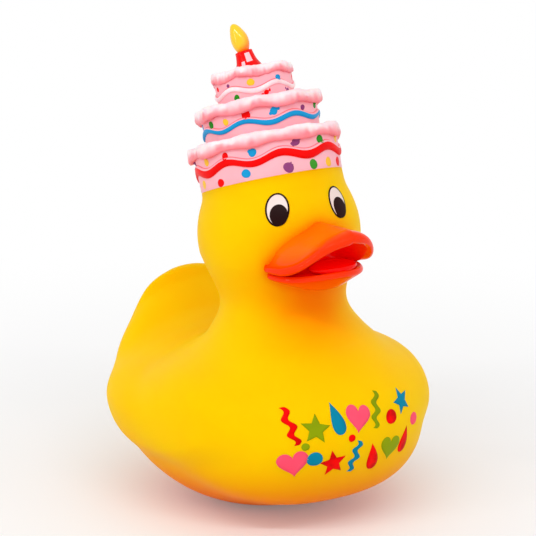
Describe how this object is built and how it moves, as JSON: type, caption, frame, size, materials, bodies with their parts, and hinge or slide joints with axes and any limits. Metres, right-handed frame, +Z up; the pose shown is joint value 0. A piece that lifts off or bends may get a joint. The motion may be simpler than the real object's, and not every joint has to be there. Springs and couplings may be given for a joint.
{
  "type": "bath duck",
  "caption": "Hollow yellow vinyl bath duck with an open orange bill, printed eyes and breast, and a tiered pink cake hat with a candle.",
  "frame": {"origin": "middle of the body's length and width, at the level of its flat base", "axes": "-Y the way the duck faces, +Z up from the base through the head to the flame, +X to the duck's left"},
  "size_m": [0.074, 0.0819, 0.1146],
  "materials": {
    "yellow_vinyl": "satin soft vinyl",
    "orange_paint": "satin on top, glossy lips",
    "pink_paint": "semi-gloss",
    "icing_paint": "semi-gloss",
    "red_paint": "glossy",
    "flame_paint": "glossy",
    "eye_print": "smooth print"
  },
  "bodies": {
    "root": {"duck": "yellow_vinyl"}
  },
  "joints": []
}
